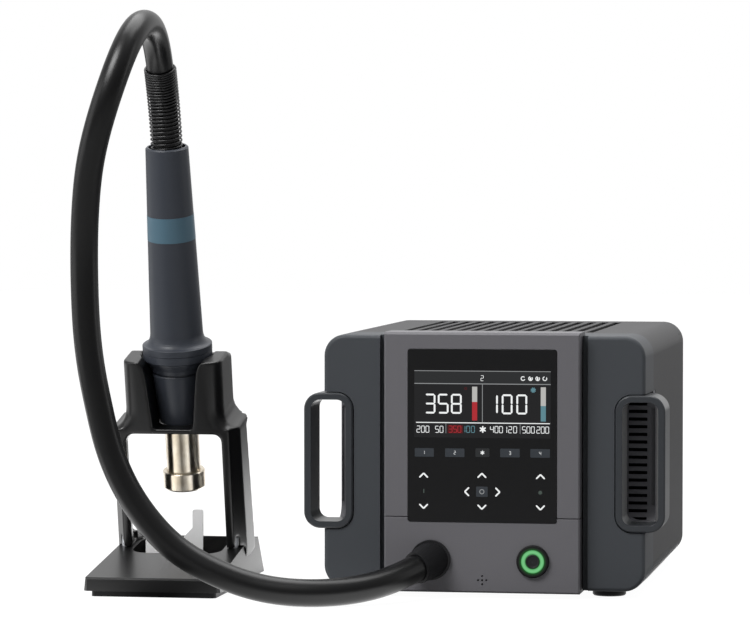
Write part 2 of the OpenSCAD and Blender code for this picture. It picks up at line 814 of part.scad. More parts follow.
// Cubic B-spline and its slope at t, where t counts the spans
function blend(a, b, c, d, f) =
    (a * pow(1 - f, 3) + b * (3 * pow(f, 3) - 6 * f * f + 4)
    + c * (3 * f * f - 3 * pow(f, 3) + 3 * f + 1) + d * pow(f, 3)) / 6;
function slope(a, b, c, d, f) =
    (-a * pow(1 - f, 2) + b * (3 * f * f - 4 * f) + c * (1 + 2 * f - 3 * f * f) + d * f * f) / 2;
function whole(t) = min(floor(t), spans - 1);
function hose_at(t) = let (i = whole(t))
    blend(route_point(i - 1), route_point(i), route_point(i + 1), route_point(i + 2), t - i);
function hose_way(t) = let (i = whole(t),
    v = slope(route_point(i - 1), route_point(i), route_point(i + 1), route_point(i + 2), t - i))
    v / norm(v);
function square_to(v, way) = let (u = v - way * (v * way)) u / norm(u);

// Sideways directions that follow the curve without twisting
function carried(ts) = [for (i = 0, u = square_to([1, 0, 0], hose_way(ts[0])); i < len(ts);
    i = i + 1, u = i < len(ts) ? square_to(u, hose_way(ts[i])) : u) u];

// A tube round a list of ring middles, each with two directions across
module swept_tube(middles, ups, sides, r, n) {
    count = len(middles);
    points = [for (i = [0:count - 1], k = [0:n - 1])
        middles[i] + r * (cos(360 * k / n) * ups[i] + sin(360 * k / n) * sides[i])];
    skin = [for (i = [0:count - 2], k = [0:n - 1]) let (
        a = i * n + k, b = i * n + (k + 1) % n)
        each [[a, a + n, b + n], [a, b + n, b]]];
    caps = [[for (k = [0:n - 1]) k], [for (k = [n - 1:-1:0]) (count - 1) * n + k]];
    polyhedron(points, concat(skin, caps), convexity = 8);
}

module air_hose() placed() color("#1c1c1e") {
    ts = [for (i = [0:60]) i * spans / 60];
    ups = carried(ts);
    ways = [for (t = ts) hose_way(t)];
    swept_tube([for (t = ts) hose_at(t)], ups,
        [for (i = [0:60]) cross(ways[i], ups[i])], hose_r, 10);
}

// Spring guard: a helix of wire round the hose's own curve, closer wound towards its end
guard_t0 = 0.35;
guard_t1 = 2.42;
guard_turns = 24;
guard_steps = 12;
guard_wire = 0.6;
guard_r = hose_r + 0.45 + guard_wire;

module spring_guard() placed() color("#202022") {
    count = guard_turns * guard_steps;
    ts = [for (i = [0:count]) let (f = i / count)
        guard_t0 + (guard_t1 - guard_t0) * (1.24 * f - 0.24 * f * f)];
    ups = carried(ts);
    ways = [for (t = ts) hose_way(t)];
    spokes = [for (i = [0:count]) let (a = 360 * i / guard_steps)
        cos(a) * ups[i] + sin(a) * cross(ways[i], ups[i])];
    swept_tube([for (i = [0:count]) hose_at(ts[i]) + guard_r * spokes[i]], spokes,
        [for (w = ways) -w], guard_wire, 5);
}

// Handset, drawn along its axis from the bench up
rim_w = 271.5;
neck_w = 157.7;
neck_r = 15.9;
flange_w = 150.5;
step_w = 146.3;
under_w = 141.3;
joint_w = 134.4;
rim_r = rim_d / 2;
flange_r = flange_d / 2;

// Flare of the grip down to its flange, as a quarter wave
flare = [for (i = [0:8]) let (f = i / 8)
    [neck_r + (flange_r - 0.5 - neck_r) * (1 - cos(90 * f)),
     neck_w - (neck_w - flange_w) * sin(90 * f)]];
band_w0 = 215.2;
band_w1 = 230.3;
bush_w = 247;
barrel_w = 64;
core_w = 140;
rib_w = 110;

function taper_r(w) = neck_r + (rim_r - neck_r) * (w - neck_w) / (rim_w - neck_w);

module grip_shell() on_axis() color("#3f434b") {
    rotate_extrude($fn = 72) polygon(concat(
        [[8.6, joint_w], [16.2, joint_w], [16.9, 136.5], [18.2, 138.8], [19, 140.3], [19.2, under_w],
         [flange_r - 0.6, under_w], [flange_r - 0.1, under_w + 0.6],
         [flange_r - 0.1, step_w - 0.2], [flange_r - 0.35, step_w],
         [flange_r, step_w + 0.25], [flange_r, flange_w - 0.4]],
        [for (i = [8:-1:0]) flare[i]],
        [[taper_r(band_w0), band_w0], [taper_r(band_w0) - 0.8, band_w0],
         [taper_r(band_w1) - 0.8, band_w1], [taper_r(band_w1), band_w1],
         [rim_r, rim_w - 0.8], [rim_r - 0.8, rim_w], [11.05, rim_w],
         [11.05, bush_w], [9.8, bush_w], [9.8, bush_w - 3], [11.8, 240], [13, neck_w],
         [13, core_w], [8.6, core_w]]));
}

module colour_band() on_axis() color("#5f8594") rotate_extrude($fn = 72) polygon([
    [taper_r(band_w0) - 0.75, band_w0 + 0.05], [taper_r(band_w0) + 0.08, band_w0 + 0.05],
    [taper_r(band_w1) + 0.08, band_w1 - 0.05], [taper_r(band_w1) - 0.75, band_w1 - 0.05]]);

module front_sleeve() on_axis() color("#3d4149") rotate_extrude($fn = 72) polygon([
    [barrel_d / 2 + 0.2, 101.5], [12.3, 101.5], [12.9, 102.3], [16.1, 131.6], [16.1, 132.4], [15.6, 133],
    [14.9, 133.2], [14.9, joint_w], [13, joint_w], [12.4, rib_w], [barrel_d / 2 + 0.2, rib_w]]);

module hose_bush() on_axis() color("#17181a") rotate_extrude() polygon([
    [5, bush_w], [11, bush_w], [11, 266], [8.15, 266], [8.15, 260.4], [5, 260.4]]);

module heater_barrel() on_axis() color("#cfc5b4") difference() {
    union() {
        rod_z(0, 0, barrel_d / 2, barrel_w, 133);
        rod_z(0, 0, 12.3, rib_w, rib_w + 2);
    }
    rod_z(0, 0, barrel_d / 2 - 0.8, barrel_w + 1, 134);
    rod_z(0, 0, 8.5, barrel_w - 1, 134);
}

module mica_sleeve() on_axis() color("#d9c48f") tube_z(8.4, 9.2, barrel_w + 1, 130);

module heater_core() on_axis() color("#e8e2d2") {
    difference() {
        union() {
            rod_z(0, 0, 8, 76, core_w + 2);
            rod_z(0, 0, 10, core_w, core_w + 2);
        }
        for (a = [0:60:300]) rotate([0, 0, a]) rod_z(5, 0, 1.8, 70, core_w + 3);
        rod_z(0, 0, 1.8, 70, core_w + 3);
    }
}

nozzle_w0 = 59.8;
nozzle_w1 = 71;
mouth_r = 9.4;

module nozzle() on_axis() color("#c9bfae") rotate_extrude($fn = 72) polygon([
    [mouth_r, nozzle_w0], [nozzle_d / 2 - 1.2, nozzle_w0], [nozzle_d / 2, nozzle_w0 + 1.2],
    [nozzle_d / 2, nozzle_w1 - 0.5], [nozzle_d / 2 - 0.5, nozzle_w1], [barrel_d / 2 + 0.06, nozzle_w1],
    [barrel_d / 2 + 0.06, barrel_w], [mouth_r, barrel_w]]);

// Stand: a leaning holder, crossed from a front view and a side view, with a round cup in it
leg_front = -24;
leg_foot = 18;
window_w = 58.5;
crossbar_w = 100;
cup_top = 144.5;
cup_back = 15;
ear_fall = 4.2;
cup_front_r = 10;
ledge_r = flange_r + 1;
leg_solid = 28.5;
leg_hollow_x = 18;

// The hollow shoulder from the top of a leg in to the cup, as a quarter ellipse
shoulder_w = 103;
shoulder_h = 10;
shoulder_out = (legs_w - cup_w) / 2 - 1.6;
shoulder = [for (a = [0:15:90])
    [cup_w / 2 + shoulder_out * (1 - sin(a)), shoulder_w + shoulder_h * (1 - cos(a))]];

module holder_front() {
    half = legs_w / 2;
    difference() {
        both_sides() polygon(concat([[-1, leg_foot], [half, leg_foot], [half - 0.5, 101]],
            shoulder, [[cup_w / 2, cup_top], [-1, cup_top]]));
        translate([0, (leg_foot - 20 + crossbar_w) / 2])
            rounded_rect(window_w, crossbar_w - leg_foot + 20, 5);
    }
}

module holder_side() {
    polygon([[leg_front, leg_foot], [leg_front, cup_top], [4, cup_top],
        [cup_back, cup_top - ear_fall], [cup_back, crossbar_w + 4], [5, crossbar_w - 2],
        [11, 30], [11, leg_foot]]);
}

module cup_plan(half) {
    side = half - cup_front_r;
    translate([-half, leg_front + cup_front_r]) square([2 * half, 60]);
    translate([-side, leg_front]) square([2 * side, 20]);
    for (s = [-1, 1]) translate([s * side, leg_front + cup_front_r]) circle(cup_front_r);
}

// Rounds the cup's front edges and bevels the legs' outer front edges
module holder_plan() {
    half = legs_w / 2;
    last = len(shoulder) - 1;
    for (i = [1:last])
        translate([0, 0, shoulder[i - 1][1]])
            linear_extrude(shoulder[i][1] - shoulder[i - 1][1]) cup_plan(shoulder[i - 1][0]);
    translate([0, 0, shoulder[last][1]]) linear_extrude(50) cup_plan(cup_w / 2);
    linear_extrude(shoulder_w) polygon([[-half, 40], [-half, leg_front + 10], [6 - half, leg_front],
        [half - 6, leg_front], [half, leg_front + 10], [half, 40]]);
}

module holder_block() {
    intersection() {
        translate([0, 40, 0]) rotate([90, 0, 0]) linear_extrude(80) holder_front();
        plate_x(-50, 50) holder_side();
        holder_plan();
    }
    rotate_extrude($fn = 72) polygon([[0, crossbar_w - 2], [17.5, crossbar_w - 2],
        [22.5, 137], [22.5, under_w], [0, under_w]]);
}

// The slot in the cup's front half, which opens out at its top
module cup_slot() {
    rotate([90, 0, 0]) linear_extrude(40) polygon([
        [-11.9, 103], [11.9, 103], [14.6, 130], [15.3, 136], [16.4, 140.5], [18, 143.3],
        [19.5, cup_top + 0.1], [-19.5, cup_top + 0.1], [-18, 143.3], [-16.4, 140.5],
        [-15.3, 136], [-14.6, 130]]);
}

module stand_frame() placed() color("#1d1d1f") translate([stand_x, 0, 0]) difference() {
    union() {
        translate([0, axis_y, 0]) rotate([lean, 0, 0]) difference() {
            holder_block();
            both_sides() box(leg_hollow_x, legs_w / 2 - 3.4, leg_front + 7, 30, leg_solid,
                crossbar_w - 5);
            rotate_extrude($fn = 72) polygon([[0, 90], [13.8, 90], [13.8, 103], [17.9, 136.6],
                [19.8, 140.2], [19.8, under_w], [ledge_r, under_w], [ledge_r, 160], [0, 160]]);
            cup_slot();
        }
        both_sides() rod_z(stand_screw_x, stand_screw_y[1], 4.2, 20, screw_tip + 2);
    }
    base_blank();
    both_sides() for (y = stand_screw_y) rod_z(stand_screw_x, y, m4_r, 0, screw_tip + 1);
}

// Wedge shaped base: a side view crossed with a front view and a plan
base_low = 3.5;
deck_z = 11;
pocket_y0 = 25;
pocket_y1 = 88;
pocket_w = 55;
ballast_room = 5;
fork_y = 25.3;
fork_t = 1.5;
fork_half = 17.6;
fork_top = 47;
fork_screw_y = fork_y + 8;
fork_screw_x = 9;

module base_blank() {
    half = base_w / 2;
    intersection() {
        plate_x(-half, half) polygon([[base_front, base_low], [base_front, 10.5],
            [base_front + 1, 11.6], [54, 24.8], [90.5, 25.2], [base_back, base_low]]);
        plate_y(base_front - 1, base_back + 1) polygon([[-half, base_low], [half, base_low],
            [half - 3, 26], [3 - half, 26]]);
        translate([0, 0, base_low - 1]) linear_extrude(30) polygon([[-half, base_front + 2],
            [2 - half, base_front], [half - 2, base_front], [half, base_front + 2],
            [half, base_back], [-half, base_back]]);
    }
}

stand_screw_y = [41.5, 58];
stand_screw_x = 34;
screw_seat = 9;
screw_length = 20;
screw_tip = screw_seat + screw_length;

module stand_base() on_stand() color("#232325") difference() {
    base_blank();
    translate([0, (pocket_y0 + pocket_y1) / 2, deck_z]) linear_extrude(30)
        rounded_rect(pocket_w, pocket_y1 - pocket_y0, 10);
    box(-28, 28, base_front + 8, base_back - 8, base_low - 1, base_low + ballast_room);
    both_sides() for (y = stand_screw_y) {
        rod_z(stand_screw_x, y, m4_r + 0.1, 0, 40);
        rod_z(stand_screw_x, y, 4.2, 0, screw_seat);
    }
    both_sides() rod_z(fork_screw_x, fork_screw_y, 1.25, base_low + 1, deck_z + 1);
}

module stand_ballast() on_stand() color("#8f9296")
    box(-27.5, 27.5, base_front + 8.5, base_back - 8.5, base_low, base_low + ballast_room - 0.2);

module stand_pad() on_stand() color("#151516") {
    half = base_w / 2 - 3.6;
    difference() {
        translate([0, (base_front + base_back) / 2, 0]) linear_extrude(base_low)
            rounded_rect(2 * half, base_back - base_front - 8, 3);
        for (y = [-20:10:80]) box(4 - half, half - 4, y - 1, y + 1, -1, 0.5);
    }
}

// Steel puller: its notch lets the barrel in and stops the nozzle's collar
module nozzle_fork() on_stand() color("#bdbfc2") {
    plate_y(fork_y, fork_y + fork_t) polygon([
        [-fork_half, deck_z], [fork_half, deck_z], [fork_half, fork_top - 0.9],
        [fork_half - 0.9, fork_top], [12, fork_top], [11.1, fork_top - 0.9], [11.1, 36], [7, 31.8],
        [5, 29.6], [-5, 29.6], [-7, 31.8], [-11.1, 36], [-11.1, fork_top - 0.9], [-12, fork_top],
        [0.9 - fork_half, fork_top], [-fork_half, fork_top - 0.9]]);
    difference() {
        box(-14, 14, fork_y + 0.5, fork_y + 13, deck_z, deck_z + fork_t);
        both_sides() rod_z(fork_screw_x, fork_screw_y, 1.6, 0, 40);
    }
}

module fork_screws() on_stand() color("#9ea1a5")
    both_sides() translate([fork_screw_x, fork_screw_y, deck_z + fork_t])
        rotate([180, 0, 0]) pan_screw(1.25, 3.9);

module stand_screws() on_stand() color("#b9bcc0")
    both_sides() for (y = stand_screw_y)
        translate([stand_screw_x, y, screw_seat]) pan_screw(m4_r, screw_length);

front_frame();
upper_panel();
lower_panel();
display_glass();
lcd_module();
control_board();
panel_screws();
power_bezel();
power_light_ring();
power_cap();
power_switch();
power_nut();
hose_boot();
gland_nut();
buzzer();
handle_left();
handle_right();
handle_screws();
grille_left();
grille_right();
slot_filters();
outer_shell();
chassis_tray();
rear_panel();
rear_screws();
mains_inlet();
inlet_pins();
fuse_drawer();
inlet_screws();
feet();
foot_screws();
blower_housing();
blower_cover();
impeller();
impeller_shaft();
blower_motor();
motor_bearings();
blower_screws();
air_pipe();
mains_board();
transformer();
heatsink();
air_hose();
spring_guard();
hose_bush();
grip_shell();
colour_band();
front_sleeve();
heater_barrel();
heater_core();
mica_sleeve();
nozzle();
stand_frame();
stand_base();
stand_ballast();
stand_pad();
nozzle_fork();
fork_screws();
stand_screws();
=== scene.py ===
import math

import bmesh
import bpy
from mathutils import Matrix, Vector


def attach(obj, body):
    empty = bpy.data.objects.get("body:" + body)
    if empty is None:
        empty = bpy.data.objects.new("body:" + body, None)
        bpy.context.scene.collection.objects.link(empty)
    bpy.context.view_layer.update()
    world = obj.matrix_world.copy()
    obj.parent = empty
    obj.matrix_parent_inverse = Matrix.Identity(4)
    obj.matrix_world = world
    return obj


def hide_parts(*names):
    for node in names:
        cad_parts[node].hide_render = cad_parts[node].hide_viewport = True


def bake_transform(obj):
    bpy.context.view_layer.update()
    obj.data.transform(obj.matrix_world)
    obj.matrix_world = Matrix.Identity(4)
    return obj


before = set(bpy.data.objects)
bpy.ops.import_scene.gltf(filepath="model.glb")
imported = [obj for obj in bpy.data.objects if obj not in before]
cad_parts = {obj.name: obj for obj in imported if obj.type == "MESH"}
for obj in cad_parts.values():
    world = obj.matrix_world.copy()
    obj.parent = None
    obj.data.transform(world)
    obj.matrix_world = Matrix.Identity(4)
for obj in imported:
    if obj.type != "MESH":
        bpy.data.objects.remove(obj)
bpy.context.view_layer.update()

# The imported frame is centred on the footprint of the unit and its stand
MIDDLE = Vector((-62.65, 102.75, 0.0))
MM = 0.001
# The handset and the legs of its stand lean back by this angle
LEAN = math.radians(13)
# Middle of the power button on the front, and the place of the stand and of the unit on the table
BUTTON_X, BUTTON_Z = 30.3, 22.4
STAND_PLACE = (-191, 45, 0)
UNIT_PLACE = (0, 140, 0)


def at(x, y, z):
    """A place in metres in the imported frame, from millimetres in the unit's own frame."""
    return (Vector((x, y, z)) - MIDDLE) * MM


# Camera, fitted to the edges of the unit in the photo

CAMERA_PLACE = (311.14, -2201.66, 242.13)
CAMERA_YAW = 9.679
CAMERA_DOWN = 1.91
CAMERA_LENS = 182.58

camera_data = bpy.data.cameras.new("camera")
camera_data.sensor_width = 36.0
camera_data.lens = CAMERA_LENS
camera_data.clip_start = 0.05
camera_data.clip_end = 50.0
camera = bpy.data.objects.new("camera", camera_data)
bpy.context.scene.collection.objects.link(camera)
camera.location = at(*CAMERA_PLACE)
camera.rotation_euler = (math.radians(90.0 - CAMERA_DOWN), 0.0, math.radians(CAMERA_YAW))
bpy.context.scene.camera = camera


# Air hose: the route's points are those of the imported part

HOSE_ROUTE = [
    (-191, 9.5, 254), (-191, 3.5, 279), (-191.5, -4, 302), (-191, -17, 323),
    (-190, -40, 336), (-191, -64, 335), (-194, -84, 322), (-200, -94, 300),
    (-208, -94, 276), (-215, -88, 253), (-219, -81, 229), (-221, -76, 206),
    (-221, -75, 182), (-220, -75, 158), (-217, -76, 135), (-212, -76, 112),
    (-207, -76, 90), (-197.5, -76, 68), (-184.5, -76, 49), (-167, -75, 31),
    (-144, -74, 19), (-122, -72, 11), (-100, -70, 8), (-76, -65, 8),
    (-53, -50, 11), (-36, -24, 19), (-33.2, -19.7, 20.3)]
HOSE_RADIUS = 8.0
HOSE_RINGS, HOSE_SIDES = 260, 40
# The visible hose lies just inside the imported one
HOSE_FIT = 0.999


def route_points(ts):
    """Points of the cubic B-spline along the hose at each t, counted in spans."""
    points = [Vector(p) for p in HOSE_ROUTE]
    control = [2 * points[0] - points[1], *points, 2 * points[-1] - points[-2]]
    found = []
    for t in ts:
        i = min(int(t), len(points) - 2)
        f = t - i
        weights = ((1 - f) ** 3, 3 * f ** 3 - 6 * f * f + 4,
                   3 * f * f - 3 * f ** 3 + 3 * f + 1, f ** 3)
        found.append(sum((w * c for w, c in zip(weights, control[i:i + 4])), Vector()) / 6)
    return found


def carried_frames(points):
    """A direction along and one across at each point, carried without twist."""
    last = len(points) - 1
    across = Vector((1, 0, 0))
    frames = []
    for i in range(last + 1):
        along = (points[min(i + 1, last)] - points[max(i - 1, 0)]).normalized()
        across = (across - along * across.dot(along)).normalized()
        frames.append((along, across.copy()))
    return frames


def new_piece(name, bm, *materials):
    """An object from a bmesh, with smooth faces and outward normals."""
    bmesh.ops.recalc_face_normals(bm, faces=bm.faces)
    for face in bm.faces:
        face.smooth = True
    mesh = bpy.data.meshes.new(name)
    bm.to_mesh(mesh)
    bm.free()
    for material in materials:
        mesh.materials.append(material)
    piece = bpy.data.objects.new(name, mesh)
    bpy.context.scene.collection.objects.link(piece)
    return piece


def add_tube(bm, middles, ups, sides, radius, count):
    """A closed tube of count sides round the middles of its rings; ups and sides span each ring."""
    rings = []
    for middle, up, side in zip(middles, ups, sides):
        ring = []
        for k in range(count):
            a = 2 * math.pi * k / count
            spoke = math.cos(a) * up + math.sin(a) * side
            ring.append(bm.verts.new(at(*(middle + radius * spoke))))
        rings.append(ring)
    for a, b in zip(rings, rings[1:]):
        for k in range(count):
            bm.faces.new((a[k], b[k], b[(k + 1) % count], a[(k + 1) % count]))
    bm.faces.new(rings[0])
    bm.faces.new(rings[-1][::-1])


# Node helpers

def add_node(tree, kind, inputs=None, **settings):
    """Adds a node; an input given as a socket is linked, and any other is a value."""
    node = tree.nodes.new(kind)
    for key, value in settings.items():
        setattr(node, key, value)
    for key, value in (inputs or {}).items():
        if isinstance(value, bpy.types.NodeSocket):
            tree.links.new(value, node.inputs[key])
        else:
            node.inputs[key].default_value = value
    return node


def rgb(hex_colour):
    """Linear RGBA from an sRGB hex colour."""
    values = [int(hex_colour[i:i + 2], 16) / 255 for i in (1, 3, 5)]
    linear = [v / 12.92 if v <= 0.04045 else ((v + 0.055) / 1.055) ** 2.4 for v in values]
    return (*linear, 1.0)


def grey(level):
    return (level, level, level, 1.0)


def set_stops(ramp, stops):
    """Sets a colour ramp to a list of places and colours."""
    while len(ramp.elements) > 1:
        ramp.elements.remove(ramp.elements[-1])
    ramp.elements[0].position = stops[0][0]
    ramp.elements[0].color = stops[0][1]
    for position, colour in stops[1:]:
        ramp.elements.new(position).color = colour


def surface(name, colour, roughness, metallic=0.0, ior=1.5, specular=0.5,
            grain_mm=0.0, relief_mm=0.0, mottle=0.0):
    """A finish with an optional fine grain in relief and in roughness."""
    material = bpy.data.materials.new(name)
    material.use_nodes = True
    tree = material.node_tree
    shader = tree.nodes["Principled BSDF"]
    shader.inputs["Base Color"].default_value = rgb(colour)
    shader.inputs["Roughness"].default_value = roughness
    shader.inputs["Metallic"].default_value = metallic
    shader.inputs["IOR"].default_value = ior
    shader.inputs["Specular IOR Level"].default_value = specular
    if not grain_mm:
        return material
    place = add_node(tree, "ShaderNodeTexCoord")
    scaled = add_node(tree, "ShaderNodeVectorMath",
                      {0: place.outputs["Object"], "Scale": 1.0 / (grain_mm * MM)}, operation="SCALE")
    noise = add_node(tree, "ShaderNodeTexNoise",
                     {"Vector": scaled.outputs[0], "Scale": 1.0, "Detail": 2.0, "Roughness": 0.55})
    if relief_mm:
        bump = add_node(tree, "ShaderNodeBump",
                        {"Height": noise.outputs["Fac"], "Distance": relief_mm * MM, "Strength": 1.0})
        tree.links.new(bump.outputs[0], shader.inputs["Normal"])
    if mottle:
        spread = add_node(tree, "ShaderNodeMapRange",
                          {"Value": noise.outputs["Fac"], "To Min": max(roughness - mottle, 0.02),
                           "To Max": min(roughness + mottle, 1.0)})
        tree.links.new(spread.outputs[0], shader.inputs["Roughness"])
    return material


def glowing(name, colour, strength=1.0):
    """A lit area of the display or the button."""
    material = bpy.data.materials.new(name)
    material.use_nodes = True
    shader = material.node_tree.nodes["Principled BSDF"]
    shader.inputs["Base Color"].default_value = (0.0, 0.0, 0.0, 1.0)
    shader.inputs["Roughness"].default_value = 0.5
    shader.inputs["Specular IOR Level"].default_value = 0.0
    shader.inputs["Emission Color"].default_value = rgb(colour)
    shader.inputs["Emission Strength"].default_value = strength
    return material


def streaked_steel(name, light, dark, roughness, mark_mm=9.0):
    """Turned steel with soft heat marks; its fine grooves run round the handset's axis."""
    material = bpy.data.materials.new(name)
    material.use_nodes = True
    tree = material.node_tree
    shader = tree.nodes["Principled BSDF"]
    place = add_node(tree, "ShaderNodeTexCoord")
    scaled = add_node(tree, "ShaderNodeVectorMath",
                      {0: place.outputs["Object"], "Scale": 1.0 / (mark_mm * MM)}, operation="SCALE")
    noise = add_node(tree, "ShaderNodeTexNoise", {"Vector": scaled.outputs[0], "Scale": 1.0, "Detail": 3.0})
    ramp = add_node(tree, "ShaderNodeValToRGB", {"Fac": noise.outputs["Fac"]})
    set_stops(ramp.color_ramp, [(0.35, rgb(dark)), (0.7, rgb(light))])
    tree.links.new(ramp.outputs[0], shader.inputs["Base Color"])
    shader.inputs["Metallic"].default_value = 1.0
    shader.inputs["Roughness"].default_value = roughness
    shader.inputs["Anisotropic"].default_value = 0.92
    along = add_node(tree, "ShaderNodeCombineXYZ",
                     {"X": 0.02, "Y": -math.sin(LEAN), "Z": math.cos(LEAN)})
    tree.links.new(along.outputs[0], shader.inputs["Tangent"])
    return material


def lit_ring(name, bands, colour="#000000", specular=0.0):
    """Plastic that glows in rings round the power button: the light ring's own glow, or the ring's light
    painted as glow on the black plastic round it; bands are radii in mm and colours.
    """
    widest = 10.0
    material = glowing(name, "#000000")
    tree = material.node_tree
    shader = tree.nodes["Principled BSDF"]
    shader.inputs["Base Color"].default_value = rgb(colour)
    shader.inputs["Specular IOR Level"].default_value = specular
    place = add_node(tree, "ShaderNodeTexCoord")
    offset = add_node(tree, "ShaderNodeVectorMath",
                      {0: place.outputs["Object"], 1: at(BUTTON_X, 0, BUTTON_Z)}, operation="SUBTRACT")
    flat = add_node(tree, "ShaderNodeVectorMath", {0: offset.outputs[0], 1: (1, 0, 1)}, operation="MULTIPLY")
    reach = add_node(tree, "ShaderNodeVectorMath", {0: flat.outputs[0]}, operation="LENGTH")
    share = add_node(tree, "ShaderNodeMath", {0: reach.outputs["Value"], 1: widest * MM}, operation="DIVIDE")
    ramp = add_node(tree, "ShaderNodeValToRGB", {"Fac": share.outputs[0]})
    set_stops(ramp.color_ramp, [(radius / widest, rgb(tint)) for radius, tint in bands])
    tree.links.new(ramp.outputs[0], shader.inputs["Emission Color"])
    return material


# Finishes

# Fine textured charcoal powder coat
shell_paint = surface("charcoal_powder_coat", "#343436", 0.5,
                      grain_mm=0.5, relief_mm=0.008, mottle=0.04, specular=0.22)
# Smooth satin charcoal paint
frame_paint = surface("charcoal_satin_paint", "#45484c", 0.5,
                      grain_mm=0.8, relief_mm=0.006, mottle=0.04, specular=0.22)
# Satin mid grey moulding
panel_grey = surface("mid_grey_moulding", "#68676b", 0.45, grain_mm=0.4, relief_mm=0.006, specular=0.35)
# Satin paint on the cast handles
handle_paint = surface("handle_satin_paint", "#33363a", 0.34, grain_mm=0.6, relief_mm=0.004)
# Dark grey moulding of the recesses
recess_moulding = surface("recess_moulding", "#66666a", 0.6, grain_mm=0.5, relief_mm=0.01, specular=0.3)
# Flat black sheet behind the slots: painted shade for the dark inside of the unit seen through them
painted_shade_behind_slots = surface("painted_shade_behind_slots", "#070708", 0.95, specular=0.1)
# Black moulding
black_moulding = surface("black_moulding", "#141416", 0.45, grain_mm=0.5, relief_mm=0.01)
# Soft black rubber of the feet, pad and boot
soft_rubber = surface("black_rubber", "#151517", 0.5,
                      grain_mm=0.7, relief_mm=0.008, mottle=0.06, specular=0.25)
# Smooth silicone hose
hose_rubber = surface("black_silicone_hose", "#0a0a0b", 0.32,
                      grain_mm=3.0, relief_mm=0.003, mottle=0.02, specular=0.38)
# Satin blue grey grip
grip_plastic = surface("blue_grey_grip", "#373b43", 0.42, grain_mm=0.35, relief_mm=0.006, specular=0.4)
# Steel blue band of the grip
band_plastic = surface("steel_blue_band", "#4d6b7b", 0.42, grain_mm=0.35, relief_mm=0.004, specular=0.4)
# Black satin paint on the cast stand
stand_paint = surface("stand_black_paint", "#0b0b0c", 0.32,
                      grain_mm=0.45, relief_mm=0.006, mottle=0.04, specular=0.45)
# Bright nickel steel, straw coloured by heat
barrel_steel = streaked_steel("heated_nickel_steel", "#fbf3e4", "#dccfb8", 0.3)
# Bare rolled steel sheet
bare_steel = surface("bare_steel_sheet", "#f4f4f4", 0.65, metallic=1.0, grain_mm=1.5, mottle=0.06)
# Zinc plated screws and sheet
zinc_steel = surface("zinc_plate", "#b4b6ba", 0.35, metallic=1.0)
# Black coated spring wire
spring_wire = surface("black_spring_wire", "#101012", 0.34)
# Dark smooth cover of the display
display_cover = surface("display_cover", "#19191a", 0.3, specular=0.2)
# Nickel plated brass
nickel_plate = surface("nickel_plate", "#c9c9c6", 0.25, metallic=1.0)
# Green circuit board
board_green = surface("circuit_board", "#1f5c40", 0.45)
# Natural pale plastic of the impeller
pale_plastic = surface("pale_plastic", "#d9d8d0", 0.5)
# Red brown silicone pipe
red_silicone = surface("red_silicone", "#7a2e24", 0.55)
# Enamelled copper winding
copper_coil = surface("enamelled_copper", "#a8602f", 0.35, metallic=0.6)
# Plain aluminium
bare_aluminium = surface("bare_aluminium", "#c2c4c7", 0.35, metallic=1.0)
# Off white ceramic
ceramic = surface("heater_ceramic", "#e6e0d2", 0.7)
# Golden mica sheet
mica = surface("golden_mica", "#d2bd86", 0.4)
# Green light ring
green_glow = lit_ring("green_light", [
    (4.2, "#0f4a18"), (4.6, "#62b070"), (5.6, "#79c786"), (6.5, "#62b070"), (6.9, "#0f4a18")])
# Black plastic of the button, with the ring's light painted on its edges as green glow
bezel_glow_painted = lit_ring("black_plastic_bezel_painted_glow", [
    (6.9, "#0f4516"), (7.7, "#0a2b0e"), (8.3, "#000000")], "#0c0c0d", specular=0.25)
cap_glow_painted = lit_ring("black_plastic_cap_painted_glow", [
    (3.4, "#000000"), (3.9, "#06290a"), (4.3, "#0f4516")], "#1d1e20", specular=0.25)

FINISHES = {
    frame_paint: ["front_frame"],
    shell_paint: ["outer_shell", "rear_panel"],
    panel_grey: ["upper_panel", "lower_panel"],
    handle_paint: ["handle_left", "handle_right"],
    recess_moulding: ["grille_left", "grille_right"],
    # The slot filters are painted shade: a flat black sheet where the inside is in shadow
    painted_shade_behind_slots: ["slot_filters"],
    # The bezel and the cap carry painted glow from the light ring
    bezel_glow_painted: ["power_bezel"],
    cap_glow_painted: ["power_cap"],
    black_moulding: ["power_switch", "gland_nut", "buzzer", "lcd_module", "mains_inlet", "fuse_drawer",
                     "blower_housing", "blower_cover"],
    soft_rubber: ["feet", "stand_pad", "hose_boot", "hose_bush"],
    hose_rubber: ["air_hose"],
    spring_wire: ["spring_guard"],
    grip_plastic: ["grip_shell", "front_sleeve"],
    band_plastic: ["colour_band"],
    stand_paint: ["stand_frame", "stand_base"],
    barrel_steel: ["heater_barrel", "nozzle"],
    bare_steel: ["nozzle_fork"],
    zinc_steel: ["panel_screws", "handle_screws", "rear_screws", "inlet_screws", "foot_screws",
                 "blower_screws", "fork_screws", "stand_screws", "chassis_tray", "stand_ballast",
                 "blower_motor", "motor_bearings", "impeller_shaft"],
    nickel_plate: ["power_nut", "inlet_pins"],
    display_cover: ["display_glass"],
    board_green: ["control_board", "mains_board"],
    pale_plastic: ["impeller"],
    red_silicone: ["air_pipe"],
    copper_coil: ["transformer"],
    bare_aluminium: ["heatsink"],
    ceramic: ["heater_core"],
    mica: ["mica_sleeve"],
    green_glow: ["power_light_ring"],
}
finish_of = {node: finish for finish, nodes in FINISHES.items() for node in nodes}
for node, finish in finish_of.items():
    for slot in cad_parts[node].material_slots:
        slot.link = "OBJECT"
        slot.material = finish


# The hose's visible piece

